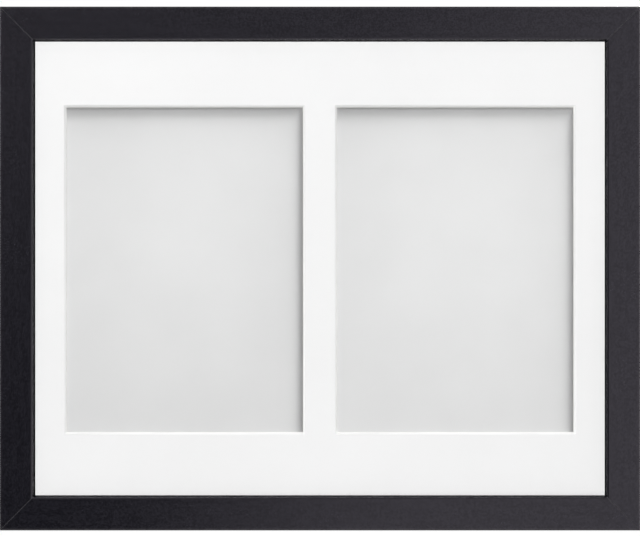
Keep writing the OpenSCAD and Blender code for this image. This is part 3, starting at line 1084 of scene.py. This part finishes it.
# %% [markdown]
# ## D-rings
# A D-ring is one wire bent round: a straight bar in the strap's eye, two short corners, two arms
# and a round bow. A circle is carried along half of that way, extruded where it is straight and
# spun where it bends, and the other half is its mirror image. The wire then keeps one thickness
# everywhere, and its two halves meet in the middle of the bow and of the bar.

# %% D-ring
wire_r = 1.2 * MM
ring_low, ring_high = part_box("right_d_ring")
ring_half = (ring_high.x - ring_low.x) / 2 - wire_r
bend_r = 1.6 * MM
bow_z = ring_low.z + wire_r + ring_half - eye.z


def wire_ring():
    """A D-ring that hangs down from its bar at the origin."""
    wire = bmesh.new()
    bmesh.ops.create_circle(wire, cap_ends=False, segments=24, radius=wire_r, matrix=spin(90))
    way = drawn(wire, wire.verts[:] + wire.edges[:], (ring_half - bend_r, 0, 0))
    bend = {"axis": (0, 1, 0), "angle": math.radians(90)}
    corner = bmesh.ops.spin(wire, geom=way, cent=(ring_half - bend_r, 0, -bend_r), steps=10, **bend)
    way = drawn(wire, corner["geom_last"], (0, 0, bow_z + bend_r))
    bmesh.ops.spin(wire, geom=way, cent=(0, 0, bow_z), steps=20, **bend)
    bmesh.ops.mirror(wire, geom=everything(wire), merge_dist=same_point, axis="X")
    bmesh.ops.remove_doubles(wire, verts=wire.verts, dist=same_point)
    return wire


for side, name in ((-1, "left"), (1, "right")):
    ring = moved(wire_ring(), shift(side * eye.x, eye.y, eye.z))
    make_piece(name + "_wire_ring", ring, name + "_ring", [NICKEL_WIRE], name + "_d_ring")

# %% [markdown]
# ## Wall bumpers
# Two soft rubber discs keep the lower corners off the wall. They are moulded, with a rounded rim
# and a faint step at the foot where the sheet they are cut from begins. Rubber is nearly black,
# quite dull, and always a little dusty.

# %% Rubber bumpers
def dull_rubber():
    finish = Finish("matt_black_rubber")
    skin = finish.noise(2400, detail=2)
    dust = finish.ramp(finish.noise(900, detail=4, rough=0.7), 0.52, 0.78, 0, 0.5)
    return finish.done(
        Base_Color=finish.blend(dust, (0.016, 0.016, 0.016), (0.11, 0.105, 0.10)),
        Roughness=finish.vary(skin, 0.6, 0.8), Normal=finish.bump(skin, 0.03 * MM))


bumper_low, bumper_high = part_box("wall_bumpers")
bumper_z = (bumper_low.z + bumper_high.z) / 2
bumper_r = bumper_high.z - bumper_z
bumper_t = bumper_high.y - bumper_low.y
step = 0.25 * MM
top_r, step_r = 1.1 * MM, 0.1 * MM
outline = [
    (0, bumper_t), (bumper_r - step, bumper_t), (bumper_r - step, 2 * step), (bumper_r, 2 * step),
    (bumper_r, 0), (0, 0)]
disc = turned_shape(outline, {1: top_r, 3: step_r}, steps=48)
spots = [(side * (bumper_high.x - bumper_r), bumper_z) for side in (-1, 1)]
discs = copies(disc, [shift(x, back_y, z) for x, z in spots])
make_piece("rubber_bumpers", discs, "frame", [dull_rubber()], "wall_bumpers")

# %% [markdown]
# ## Floor
# The frame stands on a pale studio floor that runs out to white. The floor is lit like anything
# else, so it keeps the frame's shadow, and a weak glow that only the camera sees lifts it to white.
# For the light that it throws back it is a darker grey, so that the frame isn't lit from below. It
# takes no part in reflections, because the room's own light gives the satin rails their shading.

# %% Studio floor
floor_r = 6.0
fade_from, fade_to = 0.5, 2.2
THROWN_GREY, SEEN_GREY = (0.15, 0.15, 0.15), (0.48, 0.48, 0.48)
WHITE = (1, 1, 1, 1)
floor_glow = 0.73


def studio_floor():
    finish = Finish("pale_studio_floor")
    seen = finish.add("LightPath").outputs["Is Camera Ray"]
    paper = finish.add("BsdfDiffuse", {"Color": finish.blend(seen, THROWN_GREY, SEEN_GREY)})
    strength = finish.math("MULTIPLY", seen, floor_glow)
    glow = finish.add("Emission", {"Color": WHITE, "Strength": strength})
    near = finish.add("AddShader", {0: paper.outputs[0], 1: glow.outputs[0]})
    far = finish.add("Emission", {"Color": WHITE, "Strength": 1.0})
    distance = finish.add("VectorMath", {0: finish.place}, operation="LENGTH").outputs["Value"]
    fade = finish.math("MULTIPLY", seen, finish.ramp(distance, fade_from, fade_to))
    whole = finish.add("MixShader", {0: fade, 1: near.outputs[0], 2: far.outputs[0]})
    finish.add("OutputMaterial", {"Surface": whole.outputs[0]})
    return finish.material


ground = bmesh.new()
bmesh.ops.create_circle(ground, cap_ends=True, segments=64, radius=floor_r)
floor = as_object("studio_floor", ground)
floor.data.materials.append(studio_floor())
floor.visible_glossy = False
print("the floor turns white between", fade_from, "and", fade_to, "m")

# %% [markdown]
# ## The room
# The world is the room. The camera sees it as plain white. What lights the frame is an even, dim
# white. Gloss and glass see more of the room: a dark corner low on the left, a bright wall on the
# right, and behind the frame a pale ceiling with a window. They give the satin rails the slow change
# from dark to light that the photograph shows. Each level is given low down and high up. The world
# is sampled only by the rays that reach it, so each kind of ray gets its own answer.

# %% Room light
room = bpy.data.worlds.new("studio_room")
bpy.context.scene.world = room
room.use_nodes = True
room.cycles.sampling_method = "NONE"
EVEN_LIGHT = 0.06
LEFT_WALL, RIGHT_WALL, REAR = (0.0, 0.40), (1.00, 0.845), (0.42, 1.1)
NEAR_FLOOR, WINDOW = 1.0, 0.35
wall_lean = 0.45


class Room(Finish):
    """The world's node tree, built with the same helpers. Its place is a direction."""

    def __init__(self, world):
        self.tree = world.node_tree
        self.tree.nodes.clear()
        self.place = self.add("TexCoord").outputs["Generated"]


def room_light():
    walls = Room(room)
    lean = walls.math("SUBTRACT", walls.axis("X"), walls.math("MULTIPLY", walls.axis("Z"), wall_lean))
    left_wall = walls.ramp(walls.axis("Z"), -0.26, 0.26, *LEFT_WALL)
    right_wall = walls.ramp(walls.axis("Z"), -0.3, 0.3, *RIGHT_WALL)
    walls_only = walls.mix(walls.ramp(lean, -0.05, 0.10), left_wall, right_wall)
    front = walls.mix(walls.ramp(walls.axis("Z"), -0.35, -0.6), walls_only, NEAR_FLOOR)
    ceiling = walls.ramp(walls.axis("Z"), -0.35, 0.75, *REAR)
    window = walls.math("MULTIPLY", walls.ramp(walls.axis("X"), 0.05, 0.45),
                        walls.ramp(walls.axis("Z"), -0.1, 0.35))
    behind = walls.math("ADD", ceiling, walls.math("MULTIPLY", window, WINDOW))
    turn = walls.ramp(walls.axis("Y"), -0.35, 0.35)
    gloss = walls.mix(turn, front, behind)
    path = walls.add("LightPath").outputs
    shiny = walls.math("MAXIMUM", path["Is Glossy Ray"], path["Is Transmission Ray"])
    level = walls.mix(shiny, EVEN_LIGHT, gloss)
    white = walls.mix(path["Is Camera Ray"], level, 1.0)
    light = walls.add("Background", {"Color": WHITE, "Strength": white})
    walls.add("OutputWorld", {"Surface": light.outputs[0]})


room_light()
print("room light", EVEN_LIGHT, "of a plain level")

# %% [markdown]
# ## What a lamp reaches
# Every lamp's strength is given as a share of the plain level, at which a colour shows as it is
# written. Light linking says which parts a lamp reaches and which ones cast its shadows, so the
# rails don't darken the mount. That is a choice for this picture, and no property of the frame.

# %% Lamp helpers
def group(name, members, leave_out=False):
    """A set of parts for a lamp: only these, or all but these."""
    made = bpy.data.collections.new(name)
    for member in members:
        made.objects.link(member)
    for link in made.collection_objects:
        link.light_linking.link_state = "EXCLUDE" if leave_out else "INCLUDE"
    return made


def lamp(name, kind, toward, share, width, lights=(0, -1, 0), reaches=None, shadows=None,
         gloss=False, away=None):
    """A sun, or a square lamp at a distance, that gives its share to a face pointing along lights."""
    data = bpy.data.lights.new(name, kind)
    direction = Vector(toward).normalized()
    made = bpy.data.objects.new(name, data)
    bpy.context.scene.collection.objects.link(made)
    made.rotation_euler = direction.to_track_quat("Z", "Y").to_euler()
    level = share / direction.dot(Vector(lights))
    if kind == "SUN":
        data.angle = math.radians(width)
        data.energy = level * math.pi
    else:
        data.size = width
        made.location = Vector((0, 0, mid_z)) + direction * away
        data.energy = level * (math.pi * away) ** 2
    made.visible_glossy = gloss
    made.light_linking.receiver_collection = reaches
    made.light_linking.blocker_collection = shadows
    print(name, "gives", share)


print("lamps stand round a point", round(mid_z, 3), "m above the floor")

# %% [markdown]
# ## Lamps
# In front, a soft key on the upper left gives the mount its fall of light, and a broad fill evens it
# out. Two lamps on the upper right light the prints alone, with only the mount to shade them, and
# draw the long soft shadow inside each window. A lamp above lays the frame's shadow on the floor.
# Behind, a key that shows in the gloss brings out the metal, and a broad fill opens its shadows.

# %% Lamps
nodes = frame["nodes"]
prints = [nodes["left_print"], nodes["right_print"]]
pane = nodes["glazing"]
not_rails = group("casts all but rails", [*rails, pane], leave_out=True)
not_prints = group("lights all but prints and floor", [*prints, floor], leave_out=True)
not_floor = group("lights all but floor", [floor], leave_out=True)
only_prints = group("lights prints", prints)
only_mount = group("casts mount", [mount])
not_mount = group("lights all but mount and prints", [mount, *prints], leave_out=True)

on_front = {"reaches": not_prints, "shadows": not_rails}
in_windows = {"reaches": only_prints, "shadows": only_mount}
lamp("front key", "AREA", (-0.30, -1, 0.28), 0.48, 0.5, away=3.4, **on_front)
lamp("front fill", "SUN", (0, -1, 0), 0.75, 90, **on_front)
lamp("low window shade", "SUN", (0.656, -0.151, 1), 0.37, 10.5, **in_windows)
lamp("high window shade", "SUN", (1.015, -0.591, 1), 0.51, 30, **in_windows)
lamp("top", "SUN", (-0.15, -0.3, 1), 0.5, 14, lights=(0, 0, 1), reaches=not_mount)
lamp("back key", "SUN", (0.45, 1, 0.7), 0.55, 8, lights=(0, 1, 0), reaches=not_floor, gloss=True)
lamp("back fill", "SUN", (-0.2, 1, 0.1), 0.35, 100, lights=(0, 1, 0), reaches=not_floor)

# %% [markdown]
# ## Camera
# The photograph looks at the frame square on, and shows a little of each inner wall, which puts
# the camera about one and two thirds of the frame's width away. The lens then fits the frame's width
# to the picture's width, with a hair's trim measured on the photograph, and nothing is turned.

# %% Camera
SENSOR = 36.0
camera_away = 0.647
eye_level = mid_z + 0.3 * MM
trim = 1.0008
lens = bpy.data.cameras.new("square_on")
lens.sensor_width = SENSOR
lens.lens = SENSOR * (camera_away + outer_r) / (2 * half_w) * trim
camera = bpy.data.objects.new("square_on", lens)
bpy.context.scene.collection.objects.link(camera)
camera.location = (0, front_y - camera_away, eye_level)
camera.rotation_euler = (math.radians(90), 0, 0)
bpy.context.scene.camera = camera
bpy.context.scene.view_settings.view_transform = "Standard"
print("lens", round(lens.lens, 1), "mm at", round(camera_away, 2), "m")
